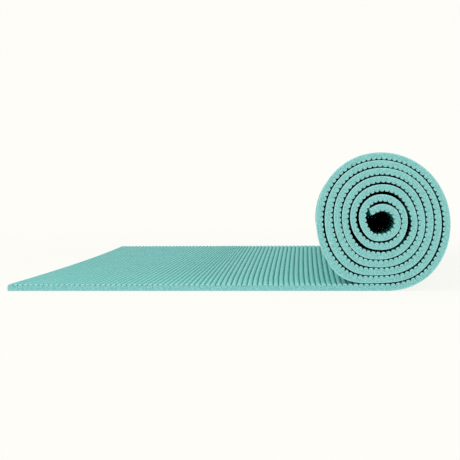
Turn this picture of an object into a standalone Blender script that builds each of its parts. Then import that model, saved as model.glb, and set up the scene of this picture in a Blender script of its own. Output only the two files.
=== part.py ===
"""A ribbed yoga mat of one foam sheet: a flat stretch on the floor, then a roll of about six and a half turns.

+X runs along the mat towards the roll, +Y across its width and +Z up. The underside of the flat stretch is at zero.
The sheet is cut into sections where it bends. Each cut lies at the root of a groove.
"""
import bpy
import numpy as np

# Driving sizes, in metres
MAT_THICKNESS = 0.006
MAT_WIDTH = 0.610
FLAT_LENGTH = 0.324
RIB_WIDTH = 0.0045
GROOVE_DEPTH = 0.0013
SECTION_GAP = 0.0003

# Sections, counted in ribs
END_SECTIONS = 6
TURN_SECTIONS = 9
RIBS_PER_SECTION = 4
TURNS_ON_THE_ROLL = 6.65
OUTER_POINTS_PER_RIB = 2

# One rib as shares: how far along its width, then how much of the groove's depth is cut away there
RIB_SHOULDER_share = 0.20
SHOULDER_DROP_share = 0.30

# Radius of the roll's smooth outer face, in shares of the mat's thickness.
# It starts at the floor and runs inwards, losing a share per turn squared.
ROLL_RADIUS_share = 9.88
TIGHTENING_share = 0.077
# The step inwards where each turn passes over the flat sheet, how much of it the next turn keeps,
# where in the turn it is, and how softly it is made
STEP_share = 1.17
STEP_KEPT_share = 0.80
STEP_PLACE_share = 0.95
STEP_SOFTNESS_share = 0.022
# How far the turns lie down and to the left, then how oval they are: outside, and what is added by the tip
SHIFT_shares = (-0.09, -0.06)
INNER_SHIFT_shares = (-0.10, -0.09)
OVAL_shares = (0.38, 0.16)
INNER_OVAL_shares = (-0.36, -0.11)
# Tight and loose places: the turn where each one is, its spread in turns, and how much it adds to the radius
PLACE_shares = (
    (0.0, 0.08, -0.46),
    (0.5, 0.15, -0.55),
    (1.0, 0.08, -0.41),
    (1.5, 0.15, -0.27),
    (2.0, 0.08, -0.23),
    (2.5, 0.08, -0.16),
    (2.9, 0.15, -0.15),
    (4.5, 0.15, 0.16),
    (4.88, 0.12, -0.24),
    (5.20, 0.10, -0.16),
    (5.85, 0.12, -0.17),
    (6.36, 0.07, 0.11),
    (6.65, 0.06, 0.18),
)

# How finely the guide path is worked out, and how finely the gap between turns is measured
PATH_STEPS_PER_TURN = 720
GAP_SAMPLES_PER_RIB = 6

COLLECTION_NAME = "yoga_mat"
FOAM_COLOUR = (0.22, 0.56, 0.52)
FOAM_ROUGHNESS = 0.75


def outer_radius(turn):
    """The radius of the smooth face at each turn, a share of a turn past the floor."""
    angle = 2 * np.pi * turn
    inward = turn / TURNS_ON_THE_ROLL
    radius = ROLL_RADIUS_share - TIGHTENING_share * turn**2
    for passed in range(int(TURNS_ON_THE_ROLL) + 1):
        past = (turn - passed - STEP_PLACE_share) / STEP_SOFTNESS_share
        radius = radius - STEP_share * STEP_KEPT_share**passed / (1 + np.exp(-past))
    terms = ((SHIFT_shares, INNER_SHIFT_shares, angle), (OVAL_shares, INNER_OVAL_shares, 2 * angle))
    for outside, added, around in terms:
        radius = radius + (outside[0] + added[0] * inward) * np.cos(around)
        radius = radius + (outside[1] + added[1] * inward) * np.sin(around)
    for middle, spread, size in PLACE_shares:
        radius = radius + size * np.exp(-(((turn - middle) / spread) ** 2))
    return radius * MAT_THICKNESS


def guide_path():
    """The smooth face of the whole sheet from its free end to the tip inside the roll, and its inward normals."""
    steps = int(TURNS_ON_THE_ROLL * PATH_STEPS_PER_TURN)
    turn = np.linspace(0, TURNS_ON_THE_ROLL, steps + 1)
    radius = outer_radius(turn)
    across = radius * np.sin(2 * np.pi * turn)
    up = -radius * np.cos(2 * np.pi * turn)
    leaves_floor = int(np.argmin(up[: PATH_STEPS_PER_TURN // 4]))
    across = across[leaves_floor:] - across[leaves_floor]
    up = up[leaves_floor:] - up[leaves_floor]
    flat_steps = PATH_STEPS_PER_TURN
    flat = np.linspace(-FLAT_LENGTH, 0, flat_steps, endpoint=False)
    points = np.column_stack([np.append(flat, across), np.append(np.zeros(flat_steps), up)])
    tangents = np.gradient(points, axis=0)
    tangents[:flat_steps] = (1, 0)
    tangents = tangents / np.linalg.norm(tangents, axis=1)[:, None]
    normals = np.column_stack([-tangents[:, 1], tangents[:, 0]])
    centre = (points[:, 0].min() + points[:, 0].max()) / 2
    return points - (centre, 0), normals


def along(points):
    """The length from the start of a line to each of its points."""
    steps = np.linalg.norm(np.diff(points, axis=0), axis=1)
    return np.append(0, np.cumsum(steps))


FACE, INWARD = guide_path()
MIDDLE = FACE + INWARD * (MAT_THICKNESS / 2)
LENGTHS = along(MIDDLE)
RIB_COUNT = int(LENGTHS[-1] / RIB_WIDTH)
FLAT_RIBS = int(round(FLAT_LENGTH / RIB_WIDTH))


def inward_at(lengths):
    """The directions from the smooth face to the ribbed one, at lengths along the middle of the sheet."""
    inward = np.column_stack([np.interp(lengths, LENGTHS, INWARD[:, i]) for i in (0, 1)])
    return inward / np.linalg.norm(inward, axis=1)[:, None]


def place(lengths, heights):
    """Points of the sheet: lengths along its middle, and heights above its smooth face."""
    lengths = np.asarray(lengths, float)
    face = np.column_stack([np.interp(lengths, LENGTHS, FACE[:, i]) for i in (0, 1)])
    return face + inward_at(lengths) * np.broadcast_to(heights, lengths.shape)[:, None]


def ribbed_side(first_rib, last_rib, start, end):
    """The ribbed side from one groove to another: a root, then shoulder, crest and shoulder of each rib."""
    root = MAT_THICKNESS - GROOVE_DEPTH
    shoulder = MAT_THICKNESS - GROOVE_DEPTH * SHOULDER_DROP_share
    ribs = np.arange(first_rib, last_rib)
    steps = (0, RIB_SHOULDER_share, 0.5, 1 - RIB_SHOULDER_share)
    lengths = np.concatenate([[(rib + step) * RIB_WIDTH for step in steps] for rib in ribs])
    heights = np.tile((root, shoulder, MAT_THICKNESS, shoulder), len(ribs))
    lengths = np.append(lengths, end)
    heights = np.append(heights, root)
    lengths[0] = start
    return place(lengths, heights)


def smooth_side(first_rib, last_rib, start, end, per_rib):
    """The smooth side between the same two cuts."""
    lengths = np.linspace(first_rib, last_rib, (last_rib - first_rib) * per_rib + 1) * RIB_WIDTH
    lengths[0] = start
    lengths[-1] = end
    return place(lengths, 0)


def section_outline(first_rib, last_rib, per_rib=1):
    """The closed outline of one section. It stops half a gap short of each neighbour."""
    start = first_rib * RIB_WIDTH + (SECTION_GAP / 2 if first_rib > 0 else 0)
    end = last_rib * RIB_WIDTH - (SECTION_GAP / 2 if last_rib < RIB_COUNT else 0)
    under = smooth_side(first_rib, last_rib, start, end, per_rib)
    over = ribbed_side(first_rib, last_rib, start, end)
    return np.concatenate([under, over[::-1]])


def foam_material(name):
    """A plain foam material for one section."""
    material = bpy.data.materials.new(name)
    material.use_nodes = True
    shader = material.node_tree.nodes["Principled BSDF"]
    shader.inputs["Base Color"].default_value = (*FOAM_COLOUR, 1)
    shader.inputs["Roughness"].default_value = FOAM_ROUGHNESS
    material.diffuse_color = (*FOAM_COLOUR, 1)
    return material


def add_section(collection, name, outline, origin):
    """One section: its outline filled and drawn out across the width, with its origin at the given point."""
    curve = bpy.data.curves.new(name, "CURVE")
    curve.dimensions = "2D"
    curve.fill_mode = "BOTH"
    curve.extrude = MAT_WIDTH / 2
    spline = curve.splines.new("POLY")
    spline.points.add(len(outline) - 1)
    for point, (across, up) in zip(spline.points, outline - origin):
        point.co = (across, up, 0, 1)
    spline.use_cyclic_u = True
    curve.materials.append(foam_material(name + "_foam"))
    section = bpy.data.objects.new(name, curve)
    section.location = (origin[0], 0, origin[1])
    section.rotation_euler = (np.pi / 2, 0, 0)
    collection.objects.link(section)
    return section


def least_gap():
    """The least distance between one turn's rib crests and the smooth face of the sheet further on."""
    count = RIB_COUNT * GAP_SAMPLES_PER_RIB
    lengths = np.linspace(0, RIB_COUNT * RIB_WIDTH, count + 1)
    crests = place(lengths, MAT_THICKNESS)
    smooth = place(lengths, 0)
    nearby = np.pi * MAT_THICKNESS
    nearest = np.inf
    for length, crest in zip(lengths, crests):
        beyond = lengths > length + nearby
        if beyond.any():
            gaps = np.linalg.norm(smooth[beyond] - crest, axis=1)
            nearest = min(nearest, gaps.min())
    return nearest


def main():
    for thing in list(bpy.data.objects):
        bpy.data.objects.remove(thing)
    collection = bpy.data.collections.new(COLLECTION_NAME)
    bpy.context.scene.collection.children.link(collection)

    groove_root = MAT_THICKNESS - GROOVE_DEPTH
    end_cut = END_SECTIONS * RIBS_PER_SECTION
    turn_cut = FLAT_RIBS + RIBS_PER_SECTION // 2

    # The stretch that stays on the floor, up to where the roll starts
    outline = section_outline(end_cut, turn_cut)
    add_section(collection, "floor_stretch", outline, np.zeros(2))

    # Sections of the free end, numbered outwards. Each turns about the groove root next to the one before
    for number in range(1, END_SECTIONS + 1):
        last = end_cut - (number - 1) * RIBS_PER_SECTION
        hinge = place([last * RIB_WIDTH], groove_root)[0]
        outline = section_outline(last - RIBS_PER_SECTION, last)
        add_section(collection, f"end_section_{number}", outline, hinge)
        print(f"end_section_{number} hinge x {hinge[0]:.6f} z {hinge[1]:.6f}")

    # Sections of the outer half turn, numbered inwards. Each turns about the smooth face where it meets the one before
    for number in range(1, TURN_SECTIONS + 1):
        first = turn_cut + (number - 1) * RIBS_PER_SECTION
        hinge = place([first * RIB_WIDTH], 0)[0]
        outline = section_outline(first, first + RIBS_PER_SECTION)
        add_section(collection, f"turn_section_{number}", outline, hinge)
        print(f"turn_section_{number} hinge x {hinge[0]:.6f} z {hinge[1]:.6f}")

    # The rest of the roll stays wound
    first = turn_cut + TURN_SECTIONS * RIBS_PER_SECTION
    hinge = place([first * RIB_WIDTH], 0)[0]
    outline = section_outline(first, RIB_COUNT, OUTER_POINTS_PER_RIB)
    add_section(collection, "wound_roll", outline, hinge)
    print(f"wound_roll hinge x {hinge[0]:.6f} z {hinge[1]:.6f}")

    # How far each hinge opens until both sections lie flat: the angle between their middles
    middles = turn_cut + (np.arange(TURN_SECTIONS + 1) + 0.5) * RIBS_PER_SECTION
    inward = inward_at(middles * RIB_WIDTH)
    headings = np.append(0, np.unwrap(np.arctan2(-inward[:, 0], inward[:, 1])))
    print("open degrees", " ".join(f"{step:.2f}" for step in np.degrees(np.diff(headings))))
    print(f"{RIB_COUNT} ribs, sheet {RIB_COUNT * RIB_WIDTH:.3f} m long")
    print(f"least gap between turns {1000 * least_gap():.3f} mm")


main()
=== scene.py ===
# %% [markdown]
# # A ribbed foam exercise mat, partly unrolled
#
# The mat is one sheet of closed-cell foam, 6 mm thick, with cross ribs moulded into its upper
# side. A third of a metre of it lies flat, and the rest is wound into a loose roll with the ribs
# inside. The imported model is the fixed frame: it says how large the mat is and where it bends.

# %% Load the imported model
import math

import bpy
import numpy as np
from mathutils import Matrix, Vector


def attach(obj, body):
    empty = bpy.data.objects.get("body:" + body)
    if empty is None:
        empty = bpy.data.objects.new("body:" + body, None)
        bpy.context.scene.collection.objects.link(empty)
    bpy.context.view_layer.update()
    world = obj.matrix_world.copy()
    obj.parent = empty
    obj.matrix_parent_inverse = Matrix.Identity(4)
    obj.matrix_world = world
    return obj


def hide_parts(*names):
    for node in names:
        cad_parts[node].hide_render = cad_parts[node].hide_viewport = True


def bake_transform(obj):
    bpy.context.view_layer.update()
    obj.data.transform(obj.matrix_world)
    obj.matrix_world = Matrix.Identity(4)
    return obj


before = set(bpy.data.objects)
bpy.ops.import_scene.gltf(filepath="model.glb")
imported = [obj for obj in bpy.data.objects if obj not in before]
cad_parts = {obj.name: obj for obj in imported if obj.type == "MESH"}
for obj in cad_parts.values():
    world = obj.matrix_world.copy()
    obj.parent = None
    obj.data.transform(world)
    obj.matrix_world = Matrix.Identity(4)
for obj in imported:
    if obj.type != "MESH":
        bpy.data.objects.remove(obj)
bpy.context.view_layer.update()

MM = 0.001

# %% [markdown]
# ## One way to add a node
#
# Shaders and Geometry Nodes trees are both graphs of nodes, so one function
# can build either. An input is given a plain value, or the node or socket
# that feeds it, by its name or its number. A Math node's inputs share one
# name, so they are 0, 1 and 2, and a Mix node's two colours are 6 and 7.

# %% The function that adds a node, and the kinds that are used most
MATH = "ShaderNodeMath"
VECTOR = "ShaderNodeVectorMath"
RANGE = "ShaderNodeMapRange"
MIX = "ShaderNodeMix"
NOISE = "ShaderNodeTexNoise"


def add_node(tree, kind, inputs=None, **settings):
    """Adds one node with its settings, and fills its inputs with values or links."""
    node = tree.nodes.new(kind)
    for setting, value in settings.items():
        setattr(node, setting, value)
    for key, value in (inputs or {}).items():
        if isinstance(value, bpy.types.Node):
            value = value.outputs[0]
        if isinstance(value, bpy.types.NodeSocket):
            tree.links.new(value, node.inputs[key])
        else:
            node.inputs[key].default_value = value
    return node


# %% [markdown]
# ## The line that the sheet follows
#
# Seen from its long edge, the mat is one long line: straight along the floor, then a
# spiral inwards. The spiral could be drawn by hand, but a real roll follows a rule. Each
# turn is one thickness of foam and a little air closer to the middle, it steps in where it
# passes over the flat stretch, and it is loose in some places and tight in others. The
# same rule shapes the solids of the frame. The mat has more loose and tight places than
# they have, and along its two long edges it lies on them to little more than a millimetre.

# %% The sizes of the sheet
THICKNESS = 6.0 * MM
WIDTH = 610 * MM
FLAT_LENGTH = 324 * MM
RIB_WIDTH = 4.5 * MM
GROOVE_DEPTH = 2.0 * MM
TURNS = 6.65
print(f"foam {THICKNESS / MM:.0f} mm thick and {WIDTH / MM:.0f} mm wide, wound {TURNS} times")

# %% How the roll is wound, in shares of the thickness
# The radius of the smooth outer face falls a little faster in each turn
RADIUS, TIGHTENING = 9.88, 0.077
# Each turn steps in where it comes round to the flat stretch, by less each time
STEP, STEP_KEPT, STEP_PLACE, STEP_SOFTNESS = 1.17, 0.80, 0.95, 0.022
# The roll's middle is off centre and the roll is a little oval, and both change inwards
SHIFT, INNER_SHIFT = (-0.09, -0.06), (-0.10, -0.09)
OVAL, INNER_OVAL = (0.38, 0.16), (-0.36, -0.11)
# Loose and tight places: the turn, the spread in turns, and what it adds to the radius
PLACES = (
    (0.0, 0.08, -0.46),
    (0.5, 0.15, -0.55),
    (0.72, 0.10, -0.20),
    (0.89, 0.035, 0.18),
    (1.0, 0.08, -0.41),
    (1.08, 0.07, 0.12),
    (1.45, 0.07, -0.03),
    (1.5, 0.15, -0.27),
    (1.73, 0.10, -0.14),
    (2.0, 0.08, -0.23),
    (2.08, 0.07, 0.07),
    (2.35, 0.08, 0.12),
    (2.47, 0.08, 0.08),
    (2.5, 0.08, -0.16),
    (2.76, 0.10, -0.18),
    (2.9, 0.15, -0.15),
    (3.39, 0.07, 0.13),
    (3.75, 0.09, -0.19),
    (4.21, 0.08, 0.08),
    (4.42, 0.07, 0.13),
    (4.5, 0.15, 0.08),
    (4.73, 0.10, -0.11),
    (4.88, 0.12, -0.24),
    (5.20, 0.10, -0.16),
    (5.74, 0.10, -0.13),
    (5.85, 0.12, -0.17),
    (6.22, 0.10, 0.15),
    (6.36, 0.07, 0.13),
    (6.67, 0.05, 0.42),
)
# Foam swells where nothing presses it, and is squeezed where it is wound tight: the turn,
# the spread in turns, and what it adds to the thickness
SWELLINGS = (
    (0.87, 0.07, 0.15),
    (0.89, 0.035, 0.18),
    (1.31, 0.08, -0.10),
    (1.39, 0.08, -0.13),
    (1.59, 0.11, -0.07),
    (1.83, 0.11, 0.24),
    (2.12, 0.05, 0.07),
    (2.48, 0.08, -0.05),
    (3.20, 0.06, -0.11),
    (3.47, 0.08, -0.14),
    (3.76, 0.07, -0.10),
    (3.94, 0.05, 0.13),
    (4.25, 0.10, -0.13),
    (4.77, 0.10, -0.14),
    (5.24, 0.11, -0.16),
    (6.24, 0.11, -0.10),
)
print(f"{len(PLACES)} loose or tight places, {len(SWELLINGS)} swollen or squeezed ones")

# %% The radius of the roll at each turn


def bumps(places, turn):
    """The sum of the bumps that a list of places gives, as a share of the thickness."""
    return sum(
        size * np.exp(-(((turn - middle) / spread) ** 2)) for middle, spread, size in places
    )


def outer_radius(turn):
    """The radius of the smooth face, a number of turns past the floor."""
    angle = 2 * np.pi * turn
    inward = turn / TURNS
    radius = RADIUS - TIGHTENING * turn**2
    for passed in range(int(TURNS) + 1):
        past = (turn - passed - STEP_PLACE) / STEP_SOFTNESS
        radius = radius - STEP * STEP_KEPT**passed / (1 + np.exp(-past))
    for outside, added, around in ((SHIFT, INNER_SHIFT, angle), (OVAL, INNER_OVAL, 2 * angle)):
        radius = radius + (outside[0] + added[0] * inward) * np.cos(around)
        radius = radius + (outside[1] + added[1] * inward) * np.sin(around)
    return (radius + bumps(PLACES, turn)) * THICKNESS


first_radius, last_radius = outer_radius(0.0), outer_radius(TURNS)
print(f"radius at the floor {first_radius / MM:.1f} mm, at the tip {last_radius / MM:.1f} mm")

# %% The middle line of the sheet, from the free end to the tip inside the roll
# The line's points in a turn, how many steps before the tip are straight, and how many turns
# the line runs on past the tip
STEPS_PER_TURN = 720
STRAIGHT_STEPS = 6
SPARE_TURNS = 0.20


def middle_line():
    """The points (x, z) of the foam's middle, the swelling at each, and which is the tip."""
    line_turns = TURNS + SPARE_TURNS
    turn = np.linspace(0, line_turns, round(line_turns * STEPS_PER_TURN) + 1)
    radius = outer_radius(turn)
    x = radius * np.sin(2 * np.pi * turn)
    z = -radius * np.cos(2 * np.pi * turn)
    # The roll rests on its lowest point, where the flat stretch joins it
    lift = int(np.argmin(z[: STEPS_PER_TURN // 4]))
    x, z = x[lift:] - x[lift], z[lift:] - z[lift]
    flat = np.linspace(-FLAT_LENGTH, 0, STEPS_PER_TURN, endpoint=False)
    face = np.column_stack([np.append(flat, x), np.append(np.zeros(len(flat)), z)])
    # The middle lies half a thickness inwards from the smooth face
    tangent = np.gradient(face, axis=0)
    tangent[: len(flat)] = (1, 0)
    tangent /= np.linalg.norm(tangent, axis=1)[:, None]
    inward = np.column_stack([-tangent[:, 1], tangent[:, 0]])
    face[:, 0] -= (face[:, 0].min() + face[:, 0].max()) / 2
    middle = face + inward * (THICKNESS / 2)
    # The last bit is straight, also past the tip's place, where the bowed cut end reaches
    tip = len(flat) + int(np.searchsorted(turn[lift:], TURNS - 0.5 / STEPS_PER_TURN))
    bent = tip - STRAIGHT_STEPS
    past = np.arange(1, len(middle) - bent)[:, None]
    middle[bent + 1 :] = middle[bent] + past * (middle[bent] - middle[bent - 1])
    swelling = np.append(np.zeros(len(flat)), bumps(SWELLINGS, turn[lift:]))
    return middle, swelling, tip


MIDDLE, SWELLING, TIP = middle_line()
LENGTHS = np.append(0, np.cumsum(np.linalg.norm(np.diff(MIDDLE, axis=0), axis=1)))
RIB_COUNT = int(LENGTHS[TIP] / RIB_WIDTH)
print(f"{RIB_COUNT} ribs on {LENGTHS[TIP]:.3f} m of foam")

# %% [markdown]
# ## The ribbed sheet
#
# A mould presses the ribs: wide rounded bars with a narrow sharp groove between them, all
# along the mat. They could be an Array of one rib on a Curve modifier, but that bends
# each rib's ends and leaves seams. Here Geometry Nodes start from a plain grid, and read
# its rows as places along the sheet and its columns as places around its cross-section:
# over the ribs, down one cut edge, back under, and up the other. Each place along is
# looked up on the middle line, so one tree makes flat and wound parts alike.

# %% The tree's inputs
sheet = bpy.data.node_groups.new("ribbed_foam_sheet", "GeometryNodeTree")
SHEET_SIZES = {
    "Thickness": THICKNESS,
    "Width": WIDTH,
    "Rib width": RIB_WIDTH,
    "Groove depth": GROOVE_DEPTH,
    "Inner groove depth": 1.8 * MM,
    "Sheet length": RIB_COUNT * RIB_WIDTH,
    "Rib skew": 0.0,
    "End bow": 6 * MM,
    "Roll bow": 4 * MM,
    "Roll sag": 5.5 * MM,
    "Tip droop": 6 * MM,
    "Tip slant": 0.2,
    "Edge rounding": 0.5 * MM,
    "Edge wander": 0.5 * MM,
}
SHEET_COUNTS = {"First rib": 0, "Ribs": 4, "Steps per rib": 12, "Steps across": 8}
SHEET_SKINS = ("Ribbed skin", "Smooth skin", "Cut edge")
SOCKETS = (
    (("Middle line",), "NodeSocketGeometry"),
    (SHEET_SIZES, "NodeSocketFloat"),
    (SHEET_COUNTS, "NodeSocketInt"),
    (SHEET_SKINS, "NodeSocketMaterial"),
)
for names, kind in SOCKETS:
    for name in names:
        sheet.interface.new_socket(name, in_out="INPUT", socket_type=kind)
sheet.interface.new_socket("Sheet", in_out="OUTPUT", socket_type="NodeSocketGeometry")
given = add_node(sheet, "NodeGroupInput").outputs
print(f"{len(SHEET_SIZES)} sizes, {len(SHEET_COUNTS)} counts, {len(SHEET_SKINS)} finishes go in")

# %% A grid, one row for each step along the sheet and one column for each step around it
EDGE_STEPS = 4
CLOSING_ROWS = 2
around = add_node(
    sheet, MATH, {0: given["Steps across"], 1: 2, 2: 2 * EDGE_STEPS}, operation="MULTIPLY_ADD"
)
columns = add_node(sheet, MATH, {0: around, 1: 1}, operation="ADD")
steps = add_node(sheet, MATH, {0: given["Ribs"], 1: given["Steps per rib"]}, operation="MULTIPLY")
rows = add_node(sheet, MATH, {0: steps, 1: 1 + CLOSING_ROWS}, operation="ADD")
grid = add_node(sheet, "GeometryNodeMeshGrid", {"Vertices X": rows, "Vertices Y": columns})
index = add_node(sheet, "GeometryNodeInputIndex")
row = add_node(sheet, MATH, {0: index, 1: columns}, operation="DIVIDE")
row = add_node(sheet, MATH, {0: row}, operation="FLOOR")
column = add_node(sheet, MATH, {0: index, 1: columns}, operation="MODULO")
print(f"{2 * SHEET_COUNTS['Steps across'] + 2 * EDGE_STEPS} steps around the sheet")

# %% [markdown]
# The first and the last row repeat the place of their neighbours, and are folded to
# mid-height later, which closes the piece. Between them a cosine sets the rows closer
# together near the grooves, where a rib's back bends most, so few rows draw a round rib.

# %% Where a row lies along the sheet
# Rows and columns are whole numbers, so half a step tells two of them apart
HALF_STEP = 0.5
before = add_node(sheet, MATH, {0: row, 1: 1}, operation="SUBTRACT")
from_start = add_node(sheet, MATH, {0: before, 1: 0}, operation="MAXIMUM")
step = add_node(sheet, MATH, {0: from_start, 1: steps}, operation="MINIMUM")
is_open = add_node(sheet, MATH, {0: before, 1: step, 2: HALF_STEP}, operation="COMPARE")
rib = add_node(sheet, MATH, {0: step, 1: given["Steps per rib"]}, operation="DIVIDE")
rib = add_node(sheet, MATH, {0: rib}, operation="FLOOR")
part = add_node(sheet, MATH, {0: step, 1: given["Steps per rib"]}, operation="MODULO")
turned = add_node(sheet, MATH, {0: part, 1: math.pi}, operation="MULTIPLY")
turned = add_node(sheet, MATH, {0: turned, 1: given["Steps per rib"]}, operation="DIVIDE")
swing = add_node(sheet, MATH, {0: turned}, operation="COSINE")
phase = add_node(sheet, MATH, {0: swing, 1: -0.5, 2: 0.5}, operation="MULTIPLY_ADD")
ribs_along = add_node(sheet, MATH, {0: rib, 1: given["First rib"]}, operation="ADD")
ribs_along = add_node(sheet, MATH, {0: ribs_along, 1: phase}, operation="ADD")
length = add_node(sheet, MATH, {0: ribs_along, 1: given["Rib width"]}, operation="MULTIPLY")
print(f"{SHEET_COUNTS['Steps per rib']} rows to each rib of {RIB_WIDTH / MM} mm")

# %% [markdown]
# A rib's back is part of an oval: almost flat on top, and steep where it meets
# its neighbour. With q running from 0 on the crest to 1 in the groove, the oval's
# drop is 1 - (1 - q^a)^b, where a flattens the crest and b rounds the flank.

# %% How deep the groove is at each row
CREST_POWER, FLANK_POWER = 2.2, 0.5
to_groove = add_node(sheet, MATH, {0: swing}, operation="ABSOLUTE")
powered = add_node(sheet, MATH, {0: to_groove, 1: CREST_POWER}, operation="POWER")
left = add_node(sheet, MATH, {0: 1.0, 1: powered}, operation="SUBTRACT")
left = add_node(sheet, MATH, {0: left, 1: 0.0}, operation="MAXIMUM")
rise = add_node(sheet, MATH, {0: left, 1: FLANK_POWER}, operation="POWER")
drop = add_node(sheet, MATH, {0: 1.0, 1: rise}, operation="SUBTRACT")
groove = add_node(
    sheet,
    RANGE,
    {
        "Value": length,
        "From Min": FLAT_LENGTH,
        "From Max": given["Sheet length"],
        "To Min": given["Groove depth"],
        "To Max": given["Inner groove depth"],
    },
)
cut = add_node(sheet, MATH, {0: drop, 1: groove}, operation="MULTIPLY")
ribbed_height = add_node(sheet, MATH, {0: given["Thickness"], 1: cut}, operation="SUBTRACT")
inner_groove = SHEET_SIZES["Inner groove depth"]
print(f"grooves {GROOVE_DEPTH / MM:.1f} mm deep, and {inner_groove / MM:.1f} mm at the tip")

# %% Where a column lies around the cross-section: over, down, back under and up
corner_1 = given["Steps across"]
corner_2 = add_node(sheet, MATH, {0: corner_1, 1: EDGE_STEPS}, operation="ADD")
corner_3 = add_node(sheet, MATH, {0: corner_2, 1: corner_1}, operation="ADD")
corners = (0.0, corner_1, corner_2, corner_3, around)
runs = []
for first, last in zip(corners, corners[1:]):
    runs.append(add_node(sheet, RANGE, {"Value": column, "From Min": first, "From Max": last}))
over, down, under, up = runs
side_to_side = add_node(sheet, MATH, {0: over, 1: under}, operation="SUBTRACT")
side_to_side = add_node(sheet, MATH, {0: side_to_side, 1: 2, 2: -1}, operation="MULTIPLY_ADD")
level = add_node(sheet, MATH, {0: 1.0, 1: down}, operation="SUBTRACT")
level = add_node(sheet, MATH, {0: level, 1: up}, operation="ADD")
print(f"{len(runs)} runs around the cross-section")

# %% [markdown]
# The cut edge is square, because the sheet is stamped out with a blade, but foam never keeps
# a knife-sharp corner. The first and last step of each edge make a small chamfer. The blade
# also wanders a little, so in the roll the edges of the turns aren't quite in one plane.

# %% The chamfer, the wander of the cut, and the place across the sheet
chamfer = add_node(
    sheet, MATH, {0: given["Edge rounding"], 1: given["Thickness"]}, operation="DIVIDE"
)
chamfer_top = add_node(sheet, MATH, {0: 1.0, 1: chamfer}, operation="SUBTRACT")
square = add_node(
    sheet,
    RANGE,
    {
        "Value": level,
        "From Min": 1 / EDGE_STEPS,
        "From Max": 1 - 1 / EDGE_STEPS,
        "To Min": chamfer,
        "To Max": chamfer_top,
    },
    clamp=False,
)
square = add_node(sheet, "ShaderNodeClamp", {"Value": square})
# The level is 0 or 1 on the faces and at the corners, and in between on the edges
ABOVE_ZERO = 0.01
level_left = add_node(sheet, MATH, {0: 1.0, 1: level}, operation="SUBTRACT")
middle_of_edge = add_node(sheet, MATH, {0: level, 1: level_left}, operation="MULTIPLY")
on_edge = add_node(sheet, MATH, {0: middle_of_edge, 1: ABOVE_ZERO}, operation="GREATER_THAN")
off_edge = add_node(sheet, MATH, {0: 1.0, 1: on_edge}, operation="SUBTRACT")
half_width = add_node(sheet, MATH, {0: given["Width"], 1: 0.5}, operation="MULTIPLY")
inset = add_node(sheet, MATH, {0: off_edge, 1: given["Edge rounding"]}, operation="MULTIPLY")
reach = add_node(sheet, MATH, {0: half_width, 1: inset}, operation="SUBTRACT")
straight = add_node(sheet, MATH, {0: side_to_side, 1: reach}, operation="MULTIPLY")
# The noise runs from 0 to 1 about 30 times a metre, and is stretched to run from -1 to 1
WANDERS_PER_METRE = 30
wander_place = add_node(sheet, "ShaderNodeCombineXYZ", {"X": length, "Y": side_to_side})
wander = add_node(
    sheet,
    NOISE,
    {"Vector": wander_place, "Scale": WANDERS_PER_METRE, "Detail": 2.0, "Roughness": 0.6},
)
wander = add_node(sheet, MATH, {0: wander, 1: 0.5}, operation="SUBTRACT")
wander = add_node(sheet, MATH, {0: wander, 1: 2.0}, operation="MULTIPLY")
wander = add_node(sheet, MATH, {0: wander, 1: given["Edge wander"]}, operation="MULTIPLY")
across = add_node(sheet, MATH, {0: straight, 1: wander}, operation="ADD")
print(f"the cut edge wanders by up to {SHEET_SIZES['Edge wander'] / MM:.1f} mm")

# %% The height above the smooth face, with the closing rows folded to mid-height
open_height = add_node(sheet, MATH, {0: ribbed_height, 1: square}, operation="MULTIPLY")
half_height = add_node(sheet, MATH, {0: ribbed_height, 1: 0.5}, operation="MULTIPLY")
height = add_node(sheet, MIX, {"Factor": is_open, "A": half_height, "B": open_height})
print(f"the tree has {len(sheet.nodes)} nodes for the flat, straight sheet")

# %% [markdown]
# On the floor the ribs don't run quite square across: foam pulled off a roll gives a little more
# on one side, so here the far ends of the ribs trail about two centimetres towards the free end.

# %% The skew of the ribs on the floor
# How far along the sheet the skew starts, is full and ends, and a power that curves the ribs
SKEW_STARTS, SKEW_FULL, SKEW_ENDS = 26 * RIB_WIDTH, 43 * RIB_WIDTH, 70 * RIB_WIDTH
SKEW_CURVE = 0.85
to_far_edge = add_node(sheet, MATH, {0: across, 1: given["Width"]}, operation="DIVIDE")
to_far_edge = add_node(sheet, MATH, {0: to_far_edge, 1: 0.5}, operation="ADD")
skew_in = add_node(
    sheet,
    RANGE,
    {"Value": length, "From Min": SKEW_STARTS, "From Max": SKEW_FULL},
    interpolation_type="SMOOTHSTEP",
)
skew_out = add_node(sheet, RANGE, {"Value": length, "From Min": SKEW_FULL, "From Max": SKEW_ENDS})
skew_out = add_node(sheet, MATH, {0: skew_out, 1: skew_out}, operation="MULTIPLY")
skew_out = add_node(sheet, MATH, {0: 1.0, 1: skew_out}, operation="SUBTRACT")
skew = add_node(sheet, MATH, {0: skew_in, 1: skew_out}, operation="MULTIPLY")
skew = add_node(sheet, MATH, {0: skew, 1: given["Rib skew"]}, operation="MULTIPLY")
trailing = add_node(sheet, MATH, {0: to_far_edge, 1: SKEW_CURVE}, operation="POWER")
skew = add_node(sheet, MATH, {0: skew, 1: trailing}, operation="MULTIPLY")
looked_up = add_node(sheet, MATH, {0: length, 1: skew}, operation="SUBTRACT")
print(f"the ribs are skewed from {SKEW_STARTS / MM:.0f} to {SKEW_ENDS / MM:.0f} mm along")

# %% [markdown]
# Mats are cut from a long web of foam, and the two cuts bow the same way. So
# the free end is a little hollow in the middle, and the tip inside the roll
# reaches a little further there. The tip's cut also slants, because the
# ribbed side is squeezed on the inside of so tight a turn and pushes out.

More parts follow.
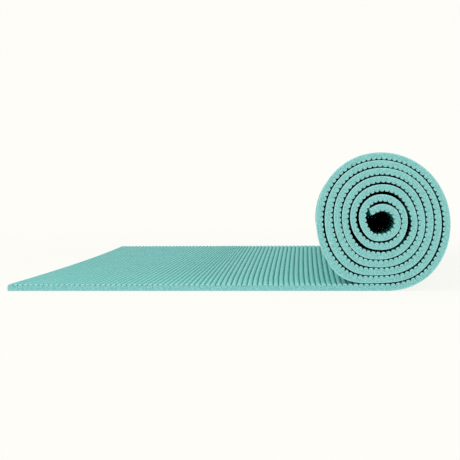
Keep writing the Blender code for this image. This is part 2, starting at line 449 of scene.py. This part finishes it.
# %% The bow of the two cut ends and the slant of the tip
END_BOW_RIBS = 22
TIP_RIBS = 7
end_to_end = add_node(sheet, MATH, {0: to_far_edge, 1: 2.0, 2: -1.0}, operation="MULTIPLY_ADD")
bowed = add_node(sheet, MATH, {0: end_to_end, 1: end_to_end}, operation="MULTIPLY")
bowed = add_node(sheet, MATH, {0: 1.0, 1: bowed}, operation="SUBTRACT")
from_tip = add_node(sheet, MATH, {0: given["Sheet length"], 1: length}, operation="SUBTRACT")
from_end = add_node(sheet, MATH, {0: from_tip, 1: length}, operation="MINIMUM")
near_end = add_node(
    sheet,
    RANGE,
    {
        "Value": from_end,
        "From Min": 0.0,
        "From Max": END_BOW_RIBS * RIB_WIDTH,
        "To Min": 1.0,
        "To Max": 0.0,
    },
)
end_shift = add_node(sheet, MATH, {0: bowed, 1: near_end}, operation="MULTIPLY")
looked_up = add_node(
    sheet, MATH, {0: end_shift, 1: given["End bow"], 2: looked_up}, operation="MULTIPLY_ADD"
)
at_tip = add_node(
    sheet,
    RANGE,
    {"Value": from_tip, "From Min": TIP_RIBS * RIB_WIDTH, "From Max": 0.0},
    interpolation_type="SMOOTHSTEP",
)
slant = add_node(sheet, MATH, {0: height, 1: at_tip}, operation="MULTIPLY")
looked_up = add_node(
    sheet, MATH, {0: slant, 1: given["Tip slant"], 2: looked_up}, operation="MULTIPLY_ADD"
)
print(f"the cut ends bow by {SHEET_SIZES['End bow'] / MM:.0f} mm over {END_BOW_RIBS} ribs")

# %% [markdown]
# The line becomes a curve, and Sample Curve finds each row's point on it,
# which way it runs, and how much the foam swells there. A swelling moves
# the ribbed side and leaves the smooth side in place. Nothing holds the tip
# up, so away from its ends it droops a few millimetres into the hollow.

# %% Look up each row on the middle line, and move the grid there
as_curve = add_node(sheet, "GeometryNodeMeshToCurve", {0: given["Middle line"]})
swelling = add_node(
    sheet, "GeometryNodeInputNamedAttribute", {"Name": "swelling"}, data_type="FLOAT"
)
found = add_node(
    sheet,
    "GeometryNodeSampleCurve",
    {"Curves": as_curve, "Value": swelling.outputs["Attribute"], "Length": looked_up},
    mode="LENGTH",
)
ALONG_WIDTH = (0, 1, 0)
inward = add_node(
    sheet, VECTOR, {0: found.outputs["Tangent"], 1: ALONG_WIDTH}, operation="CROSS_PRODUCT"
)
inward = add_node(sheet, VECTOR, {0: inward}, operation="NORMALIZE")
half_thickness = add_node(sheet, MATH, {0: given["Thickness"], 1: 0.5}, operation="MULTIPLY")
swollen = add_node(
    sheet, MATH, {0: height, 1: found.outputs["Value"], 2: height}, operation="MULTIPLY_ADD"
)
above_middle = add_node(sheet, MATH, {0: swollen, 1: half_thickness}, operation="SUBTRACT")
droop = add_node(sheet, MATH, {0: bowed, 1: at_tip}, operation="MULTIPLY")
raised = add_node(
    sheet, MATH, {0: droop, 1: given["Tip droop"], 2: above_middle}, operation="MULTIPLY_ADD"
)
offset = add_node(sheet, VECTOR, {0: inward, "Scale": raised}, operation="SCALE")
place = add_node(sheet, VECTOR, {0: found.outputs["Position"], 1: offset}, operation="ADD")
sideways = add_node(sheet, "ShaderNodeCombineXYZ", {"Y": across})
place = add_node(sheet, VECTOR, {0: place, 1: sideways}, operation="ADD")
print(f"the tip droops by {SHEET_SIZES['Tip droop'] / MM:.0f} mm over {TIP_RIBS} ribs")

# %% [markdown]
# Nobody winds a roll dead straight. Its middle lies a few millimetres to one side
# of its ends and a little lower, so no light shines right through between the
# turns. The outer half turn stays straight, because it opens on straight hinges.

# %% The slight bow of the roll between its ends
# The frame's hinges lie four ribs apart: six in the free end, and ten around the outer half turn
RIBS_PER_SECTION = 4
END_SECTIONS = 6
TURN_SECTIONS = 9
FLAT_RIBS = int(round(FLAT_LENGTH / RIB_WIDTH))
OPENING_RIBS = FLAT_RIBS + (TURN_SECTIONS + 1) * RIBS_PER_SECTION
# The bow grows between two heights above the floor, and over the first bit of wound foam
BOW_STARTS, BOW_FULL = 12 * MM, 60 * MM
BOW_REACH = 22 * MM
above_floor = add_node(sheet, "ShaderNodeSeparateXYZ", {0: place}).outputs["Z"]
how_high = add_node(
    sheet,
    RANGE,
    {"Value": above_floor, "From Min": BOW_STARTS, "From Max": BOW_FULL},
    interpolation_type="SMOOTHSTEP",
)
bending = add_node(sheet, MATH, {0: bowed, 1: bowed}, operation="MULTIPLY")
bending = add_node(sheet, MATH, {0: bending, 1: how_high}, operation="MULTIPLY")
opened = OPENING_RIBS * RIB_WIDTH
wound_on = add_node(
    sheet,
    RANGE,
    {"Value": length, "From Min": opened, "From Max": opened + BOW_REACH},
    interpolation_type="SMOOTHSTEP",
)
bending = add_node(sheet, MATH, {0: bending, 1: wound_on}, operation="MULTIPLY")
bow_and_sag = add_node(
    sheet, "ShaderNodeCombineXYZ", {"X": given["Roll bow"], "Z": given["Roll sag"]}
)
bent = add_node(sheet, VECTOR, {0: bow_and_sag, "Scale": bending}, operation="SCALE")
place = add_node(sheet, VECTOR, {0: place, 1: bent}, operation="SUBTRACT")
shaped = add_node(sheet, "GeometryNodeSetPosition", {0: grid, "Position": place})
print(f"the roll bows from rib {OPENING_RIBS} on")

# %% [markdown]
# The finishes follow the foam and not the room, so each point keeps its place on the unrolled
# sheet, and how deep in a groove it lies. Each face keeps which side of the sheet it is on.

# %% Keep the place on the sheet and the depth in the groove
sheet_place = add_node(sheet, "ShaderNodeCombineXYZ", {"X": length, "Y": across, "Z": height})
kept = add_node(
    sheet,
    "GeometryNodeStoreNamedAttribute",
    {0: shaped, "Name": "sheet_place", "Value": sheet_place},
    data_type="FLOAT_VECTOR",
)
# How deep a point lies in a groove, which the skin's painted shade in the grooves reads
in_groove = add_node(sheet, MATH, {0: drop, 1: square}, operation="MULTIPLY")
kept = add_node(
    sheet,
    "GeometryNodeStoreNamedAttribute",
    {0: kept, "Name": "in_groove", "Value": in_groove},
    data_type="FLOAT",
)
print("each point keeps sheet_place and in_groove")

# %% Keep the side of each face: ribbed, smooth, or neither on the cut edges and the closed ends
face_row = add_node(sheet, MATH, {0: index, 1: around}, operation="DIVIDE")
face_row = add_node(sheet, MATH, {0: face_row}, operation="FLOOR")
face_column = add_node(sheet, MATH, {0: index, 1: around}, operation="MODULO")
last_face_row = add_node(sheet, MATH, {0: steps, 1: 1}, operation="ADD")
is_ribbed = add_node(sheet, MATH, {0: face_column, 1: corner_1}, operation="LESS_THAN")
edge_end = add_node(sheet, MATH, {0: corner_2, 1: HALF_STEP}, operation="SUBTRACT")
after_edge = add_node(sheet, MATH, {0: edge_end, 1: face_column}, operation="LESS_THAN")
before_edge = add_node(sheet, MATH, {0: face_column, 1: corner_3}, operation="LESS_THAN")
is_smooth = add_node(sheet, MATH, {0: after_edge, 1: before_edge}, operation="MULTIPLY")
after_cap = add_node(sheet, MATH, {0: face_row, 1: HALF_STEP}, operation="GREATER_THAN")
before_cap = add_node(sheet, MATH, {0: face_row, 1: last_face_row}, operation="LESS_THAN")
not_cap = add_node(sheet, MATH, {0: after_cap, 1: before_cap}, operation="MULTIPLY")
SIDE_SKINS = {"ribbed_side": "Ribbed skin", "smooth_side": "Smooth skin"}
for side, is_side in zip(SIDE_SKINS, (is_ribbed, is_smooth)):
    on_side = add_node(sheet, MATH, {0: is_side, 1: not_cap}, operation="MULTIPLY")
    kept = add_node(
        sheet,
        "GeometryNodeStoreNamedAttribute",
        {0: kept, "Name": side, "Value": on_side},
        data_type="FLOAT",
        domain="FACE",
    )
print("each face keeps", " and ".join(SIDE_SKINS))

# %% Close the seams, shade the ribs smooth and the corners sharp, and give each side its finish
SHARP_ABOVE = math.radians(32)
MERGE_WITHIN = 0.004 * MM
merged = add_node(sheet, "GeometryNodeMergeByDistance", {0: kept, "Distance": MERGE_WITHIN})
smooth = add_node(sheet, "GeometryNodeSetShadeSmooth", {0: merged, "Shade Smooth": True})
bend = add_node(sheet, "GeometryNodeInputMeshEdgeAngle").outputs["Unsigned Angle"]
sharp = add_node(sheet, MATH, {0: bend, 1: SHARP_ABOVE}, operation="GREATER_THAN")
creased = add_node(
    sheet,
    "GeometryNodeSetShadeSmooth",
    {0: smooth, "Selection": sharp, "Shade Smooth": False},
    domain="EDGE",
)
real = add_node(sheet, "GeometryNodeRealizeInstances", {0: creased})
dressed = add_node(sheet, "GeometryNodeSetMaterial", {0: real, "Material": given["Cut edge"]})
for side, skin in SIDE_SKINS.items():
    chosen = add_node(sheet, "GeometryNodeInputNamedAttribute", {"Name": side}, data_type="FLOAT")
    dressed = add_node(
        sheet,
        "GeometryNodeSetMaterial",
        {0: dressed, "Selection": chosen, "Material": given[skin]},
    )
add_node(sheet, "NodeGroupOutput", {0: dressed})
print(f"ribbed_foam_sheet: {len(sheet.nodes)} nodes")

# %% [markdown]
# ## The finishes
#
# Colours are written as the sRGB hex values that a screen shows, and the renderer counts in linear
# light, so one function turns them. The foam's patterns lie on the place that each point has kept.

# %% From sRGB hex to linear light, and the start of a foam material


def linear(hex_colour):
    """The linear colour of an sRGB hex value such as "84c9c4"."""
    shares = [int(hex_colour[i : i + 2], 16) / 255 for i in (0, 2, 4)]
    return (*[s / 12.92 if s <= 0.04045 else ((s + 0.055) / 1.055) ** 2.4 for s in shares], 1)


def start_foam(name):
    """A new material, its node tree, its shader node, and the place on the unrolled sheet."""
    material = bpy.data.materials.new(name)
    material.use_nodes = True
    tree = material.node_tree
    shader = tree.nodes["Principled BSDF"]
    kept_place = add_node(tree, "ShaderNodeAttribute", attribute_name="sheet_place")
    return material, tree, shader, kept_place.outputs["Vector"]


print("mid-teal in linear light:", [round(share, 3) for share in linear("84c9c4")[:3]])

# %% [markdown]
# The mat is closed-cell foam rubber, pressed hot in a mould. The mould leaves a
# thin closed skin on both faces: matte, with a soft broad sheen and the faintest
# orange-peel grain. Nothing shines, so roughness is high. Real grain is about
# 0.3 mm, too fine to show at this distance, so it is drawn at 0.8 mm. Little
# light reaches the bottom of a groove, so painted shade darkens the colour there.

# %% Moulded foam skin, for the ribbed side and the smooth side
GRAIN_MM = 0.8
MOTTLE_MM = 14
# A soft mottling shows where its noise lies between the first two values. The shades say how
# far the colour goes to the deep one there, and at the bottom of a groove, where it is painted
# shade
MOTTLE_LOW, MOTTLE_HIGH, MOTTLE_SHADE = 0.3, 0.7, 0.10
PAINTED_GROOVE_SHADE = 0.85
FOAM_IOR = 1.45
SKIN_SPECULAR = 0.2


def moulded_foam_skin(name, colour, deep_colour, roughness, grain_height):
    """A closed foam skin, a shade darker at the bottom of the grooves, where the darkening is
    painted shade.
    """
    material, tree, shader, on_sheet = start_foam(name)
    depth = add_node(tree, "ShaderNodeAttribute", attribute_name="in_groove").outputs["Fac"]
    mottle = add_node(
        tree, NOISE, {"Vector": on_sheet, "Scale": 1 / (MOTTLE_MM * MM), "Detail": 3.0}
    )
    mottled = add_node(
        tree,
        RANGE,
        {
            "Value": mottle,
            "From Min": MOTTLE_LOW,
            "From Max": MOTTLE_HIGH,
            "To Min": 0.0,
            "To Max": MOTTLE_SHADE,
        },
    )
    darker = add_node(
        tree,
        MATH,
        {0: depth, 1: PAINTED_GROOVE_SHADE, 2: mottled},
        operation="MULTIPLY_ADD",
        use_clamp=True,
    )
    tint = add_node(
        tree, MIX, {"Factor": darker, 6: linear(colour), 7: linear(deep_colour)}, data_type="RGBA"
    )
    tree.links.new(tint.outputs[2], shader.inputs["Base Color"])
    grain = add_node(
        tree, NOISE, {"Vector": on_sheet, "Scale": 1 / (GRAIN_MM * MM), "Detail": 2.0}
    )
    bump = add_node(
        tree, "ShaderNodeBump", {"Height": grain, "Distance": grain_height, "Strength": 1.0}
    )
    tree.links.new(bump.outputs[0], shader.inputs["Normal"])
    shader.inputs["Roughness"].default_value = roughness
    shader.inputs["IOR"].default_value = FOAM_IOR
    shader.inputs["Specular IOR Level"].default_value = SKIN_SPECULAR
    print(f"{name}: roughness {roughness}, grain {grain_height / MM:.2f} mm high")
    return material


# The ribbed skin is drawn a little lighter than the smooth skin: painted light that makes up for
# the shade the ribs cast on each other
ribbed_skin = moulded_foam_skin("ribbed_moulded_foam_skin", "8cd7d2", "3d8d89", 0.74, 0.03 * MM)
smooth_skin = moulded_foam_skin("smooth_moulded_foam_skin", "8acdc9", "4f938e", 0.68, 0.05 * MM)

# %% [markdown]
# The long edges and the ends are cut, so they show the foam's inside: thousands of
# tiny cells sliced open, which look like a fine speckle, lighter on the cell walls and
# darker in the cells. There is no skin, so the cut is the mattest surface of all. Real
# cells are 0.2 to 0.4 mm, and they are drawn at about 1.2 mm to show. A painted
# highlight runs along the cut as a thin pale line, on the smooth side and at the ribs' crests.

# %% Cut foam
CELL_MM = 1.2
CELL_DEPTH = 0.12 * MM
# Open cells show where their noise lies above the first value, and fully above the second
CELLS_LOW, CELLS_HIGH, CELL_SHADE = 0.38, 0.68, 0.8
# The painted highlight along the cut's faces: how wide it is, and how far the colour goes to its
# pale one
PAINTED_HIGHLIGHT_WIDTH = 0.9 * MM
PAINTED_HIGHLIGHT_SHARE = 0.55
CUT_ROUGHNESS = 0.85
CUT_SPECULAR = 0.25


def cut_foam(name, colour, cell_colour, highlight_colour):
    """Sliced closed-cell foam: a speckle of open cells, and a pale painted highlight along both
    faces.
    """
    material, tree, shader, on_sheet = start_foam(name)
    cells = add_node(
        tree,
        "ShaderNodeTexVoronoi",
        {"Vector": on_sheet, "Scale": 1 / (CELL_MM * MM), "Randomness": 1.0},
    )
    speck = add_node(
        tree, NOISE, {"Vector": on_sheet, "Scale": 1 / (CELL_MM * MM), "Detail": 3.0}
    )
    cell = add_node(
        tree,
        RANGE,
        {
            "Value": speck,
            "From Min": CELLS_LOW,
            "From Max": CELLS_HIGH,
            "To Min": 0.0,
            "To Max": CELL_SHADE,
        },
    )
    tint = add_node(
        tree, MIX, {"Factor": cell, 6: linear(colour), 7: linear(cell_colour)}, data_type="RGBA"
    )
    height_there = add_node(tree, "ShaderNodeSeparateXYZ", {0: on_sheet}).outputs["Z"]
    lines = []
    for inner, outer in (
        (PAINTED_HIGHLIGHT_WIDTH, PAINTED_HIGHLIGHT_WIDTH / 2),
        (THICKNESS - PAINTED_HIGHLIGHT_WIDTH, THICKNESS - PAINTED_HIGHLIGHT_WIDTH / 2),
    ):
        line = add_node(
            tree,
            RANGE,
            {
                "Value": height_there,
                "From Min": inner,
                "From Max": outer,
                "To Min": 0.0,
                "To Max": PAINTED_HIGHLIGHT_SHARE,
            },
        )
        lines.append(line)
    painted_highlight = add_node(tree, MATH, {0: lines[0], 1: lines[1]}, operation="MAXIMUM")
    tint = add_node(
        tree,
        MIX,
        {"Factor": painted_highlight, 6: tint.outputs[2], 7: linear(highlight_colour)},
        data_type="RGBA",
    )
    tree.links.new(tint.outputs[2], shader.inputs["Base Color"])
    bump = add_node(
        tree,
        "ShaderNodeBump",
        {"Height": cells.outputs["Distance"], "Distance": CELL_DEPTH, "Strength": 0.6},
    )
    tree.links.new(bump.outputs[0], shader.inputs["Normal"])
    shader.inputs["Roughness"].default_value = CUT_ROUGHNESS
    shader.inputs["Specular IOR Level"].default_value = CUT_SPECULAR
    print(f"{name}: cells drawn {CELL_MM} mm wide")
    return material


# The last colour is the pale one of the painted highlight along the cut's faces
cut_edge = cut_foam("cut_closed_cell_foam", "8fcecb", "5f9f9b", "b4eae5")

# %% [markdown]
# ## The pieces
#
# Foam bends anywhere, and the frame bends at hinges four ribs apart. So the sheet is made in
# short pieces that meet in the grooves halfway between two hinges. A piece that crosses a hinge
# stays where it is made, and the three long pieces that cross none ride on one body each.

# %% Make one piece of the sheet, from one groove to another


def guide_mesh():
    """The middle line as a chain of edges, which the tree turns into a curve."""
    mesh = bpy.data.meshes.new("middle_line")
    points = [(float(x), 0.0, float(z)) for x, z in MIDDLE]
    mesh.from_pydata(points, [(i, i + 1) for i in range(len(points) - 1)], [])
    mesh.attributes.new("swelling", "FLOAT", "POINT").data.foreach_set("value", SWELLING)
    return mesh


GUIDE_MESH = guide_mesh()


def make_piece(name, first_rib, last_rib, rib_skew=0.0):
    """Runs the tree for some ribs, and keeps the result as a plain mesh."""
    guide = bpy.data.objects.new(name + "_guide", GUIDE_MESH)
    bpy.context.scene.collection.objects.link(guide)
    modifier = guide.modifiers.new("ribbed sheet", "NODES")
    modifier.node_group = sheet
    values = {**SHEET_SIZES, **SHEET_COUNTS}
    values.update(zip(SHEET_SKINS, (ribbed_skin, smooth_skin, cut_edge)))
    values.update({"First rib": first_rib, "Ribs": last_rib - first_rib, "Rib skew": rib_skew})
    for socket in sheet.interface.items_tree:
        if socket.in_out == "INPUT" and socket.name in values:
            modifier[socket.identifier] = values[socket.name]
    graph = bpy.context.evaluated_depsgraph_get()
    mesh = bpy.data.meshes.new_from_object(guide.evaluated_get(graph))
    mesh.name = name
    bpy.data.objects.remove(guide)
    piece = bpy.data.objects.new(name, mesh)
    bpy.context.scene.collection.objects.link(piece)
    print(f"{name}: ribs {first_rib} to {last_rib}, {len(mesh.polygons)} faces")
    return piece


print(f"the middle line has {len(GUIDE_MESH.vertices)} points")

# %% [markdown]
# The free end curls in six places, and the outer half turn of the roll opens in ten.

# %% The hinges, counted in ribs from the free end
HALF_SECTION = RIBS_PER_SECTION // 2
hinges = []
for number in range(END_SECTIONS, 0, -1):
    outer = f"end_section_{number}"
    inner = f"end_section_{number - 1}" if number > 1 else "floor_stretch"
    rib = (END_SECTIONS - number + 1) * RIBS_PER_SECTION
    hinges.append((f"end_bend_{number}", rib, outer, inner))
for number in range(1, TURN_SECTIONS + 2):
    outer = f"turn_section_{number - 1}" if number > 1 else "floor_stretch"
    inner = f"turn_section_{number}" if number <= TURN_SECTIONS else "wound_roll"
    rib = FLAT_RIBS + HALF_SECTION + (number - 1) * RIBS_PER_SECTION
    hinges.append((f"turn_bend_{number}", rib, outer, inner))
print(f"{len(hinges)} hinges")

# %% [markdown]
# Two places on the middle line are found for each piece that crosses a hinge, at its first
# and its last groove, and the piece keeps the shape that the tree gave it. Near the free end the
# piece's middle starts further along than its edges, by what is left of the bow there.


def middle_at(rib):
    """The point of the middle line at a rib's first groove, in the frame's x, y and z."""
    x, z = (np.interp(rib * RIB_WIDTH, LENGTHS, MIDDLE[:, i]) for i in (0, 1))
    return Vector((float(x), 0, float(z)))


for name, rib, before_hinge, after_hinge in hinges:
    piece = make_piece(name, rib - HALF_SECTION, rib + HALF_SECTION)
    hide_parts(before_hinge, after_hinge)
    start, end = middle_at(rib - HALF_SECTION), middle_at(rib + HALF_SECTION)
    still_bowed = max(0, 1 - (rib - HALF_SECTION) / END_BOW_RIBS) * SHEET_SIZES["End bow"]
    start = start + Vector((still_bowed, 0, 0))
    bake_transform(piece)

# %% The three stretches that cross no hinge
first_hinge, last_hinge = hinges[0][1], hinges[-1][1]
floor_start = hinges[END_SECTIONS - 1][1] + HALF_SECTION
floor_end = hinges[END_SECTIONS][1] - HALF_SECTION
FLOOR_SKEW = 19.5 * MM
for name, start, end, body, skew in (
    ("free_end", 0, first_hinge - HALF_SECTION, f"end_section_{END_SECTIONS}", 0.0),
    ("floor_part", floor_start, floor_end, "floor_stretch", FLOOR_SKEW),
    ("roll_part", last_hinge + HALF_SECTION, RIB_COUNT, "wound_roll", 0.0),
):
    piece = make_piece(name, start, end, skew)
    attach(piece, body)
    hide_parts(body)

# %% [markdown]
# ## The camera
#
# The picture is taken from low down and a little to the left of the roll, with a
# long lens, so the far edge of the mat is only a third smaller than the near one.

# %% The camera
LENS_MM, SENSOR_MM = 101.9, 36
CAMERA_PLACE = (0.0900, -1.4068, 0.0976)
LOOKS_LEFT, LOOKS_DOWN, LEANS = math.radians(4.48), math.radians(2.363), math.radians(-0.40)
camera_data = bpy.data.cameras.new("camera")
camera_data.sensor_width = SENSOR_MM
camera_data.lens = LENS_MM
camera = bpy.data.objects.new("camera", camera_data)
bpy.context.scene.collection.objects.link(camera)
camera.matrix_world = (
    Matrix.Translation(CAMERA_PLACE)
    @ Matrix.Rotation(LOOKS_LEFT, 4, "Z")
    @ Matrix.Rotation(math.pi / 2 - LOOKS_DOWN, 4, "X")
    @ Matrix.Rotation(LEANS, 4, "Z")
)
bpy.context.scene.camera = camera
print(f"lens {LENS_MM} mm, {CAMERA_PLACE[2] / MM:.0f} mm above the floor")

# %% [markdown]
# The Standard view shows a colour about as it is written, where a film look would bend it.

# %% How colours are shown
view_settings = bpy.context.scene.view_settings
view_settings.view_transform = "Standard"
print("view transform", view_settings.view_transform)

# %% [markdown]
# ## Light and floor
#
# Soft light comes from everywhere, as in a white studio tent, and the
# camera sees plain white behind the mat. So the world has two
# backgrounds: one that lights the foam, and one that the camera sees.

# %% The surroundings
BACKGROUND = linear("fefdf8")
TENT_LIGHT = 0.62
world = bpy.data.worlds.new("studio")
bpy.context.scene.world = world
world.use_nodes = True
tent = world.node_tree
tent.nodes.clear()
path = add_node(tent, "ShaderNodeLightPath").outputs
seen = path["Is Camera Ray"]
for other_ray in ("Is Glossy Ray", "Is Transmission Ray"):
    seen = add_node(tent, MATH, {0: seen, 1: path[other_ray]}, operation="MAXIMUM")
light = add_node(tent, "ShaderNodeBackground", {"Color": linear("ffffff"), "Strength": TENT_LIGHT})
backdrop = add_node(tent, "ShaderNodeBackground", {"Color": BACKGROUND, "Strength": 1.0})
mixed = add_node(tent, "ShaderNodeMixShader", {0: seen, 1: light, 2: backdrop})
add_node(tent, "ShaderNodeOutputWorld", {"Surface": mixed})
print(f"light from all around at {TENT_LIGHT}")

# %% [markdown]
# A large soft box stands high on the left, and a weaker one lower on the right. They give
# the ribs and the roll a light and a shaded side, with shadows too soft to have an edge.

# %% The soft boxes


def soft_box(name, place, aim, size, power):
    """A square area lamp at a place, turned towards a point."""
    data = bpy.data.lights.new(name, "AREA")
    data.size = size
    data.energy = power
    lamp = bpy.data.objects.new(name, data)
    lamp.location = place
    lamp.rotation_euler = (Vector(aim) - Vector(place)).to_track_quat("-Z", "Y").to_euler()
    bpy.context.scene.collection.objects.link(lamp)
    print(f"{name}: {power} W, {size} m wide")


soft_box("key", place=(-1.6, -1.8, 2.2), aim=(0.0, 0.0, 0.05), size=1.6, power=42)
soft_box("fill", place=(1.8, -1.6, 0.9), aim=(0.1, 0.0, 0.05), size=1.4, power=10)

# %% [markdown]
# The floor is white paper. To the camera it glows like the background, a little less
# near the mat, so a soft shadow stays by the mat and the paper has no edge further off.

# %% The floor
FLOOR_SIZE = 30.0
FLOOR_BELOW = 0.2 * MM
# The floor glows by the near share up to the first distance, in metres, and fully from the second
GLOW_NEAR, GLOW_FAR = 0.3, 1.1
NEAR_GLOW = 0.88
bpy.ops.mesh.primitive_plane_add(size=FLOOR_SIZE, location=(0, 0, -FLOOR_BELOW))
floor = bpy.context.object
floor.name = "floor"
floor_material = bpy.data.materials.new("pale_studio_floor")
floor_material.use_nodes = True
paper_tree = floor_material.node_tree
paper_tree.nodes.clear()
paper = add_node(paper_tree, "ShaderNodeBsdfDiffuse", {"Color": linear("fdfcf8")})
glow = add_node(paper_tree, "ShaderNodeEmission", {"Color": BACKGROUND, "Strength": 1.0})
camera_ray = add_node(paper_tree, "ShaderNodeLightPath").outputs["Is Camera Ray"]
on_floor = add_node(paper_tree, "ShaderNodeTexCoord").outputs["Object"]
from_mat = add_node(paper_tree, VECTOR, {0: on_floor}, operation="LENGTH").outputs["Value"]
share = add_node(
    paper_tree,
    RANGE,
    {
        "Value": from_mat,
        "From Min": GLOW_NEAR,
        "From Max": GLOW_FAR,
        "To Min": NEAR_GLOW,
        "To Max": 1.0,
    },
)
share = add_node(paper_tree, MATH, {0: camera_ray, 1: share}, operation="MULTIPLY")
surface = add_node(paper_tree, "ShaderNodeMixShader", {0: share, 1: paper, 2: glow})
add_node(paper_tree, "ShaderNodeOutputMaterial", {"Surface": surface})
floor.data.materials.append(floor_material)
print(f"floor {FLOOR_SIZE:.0f} m wide")
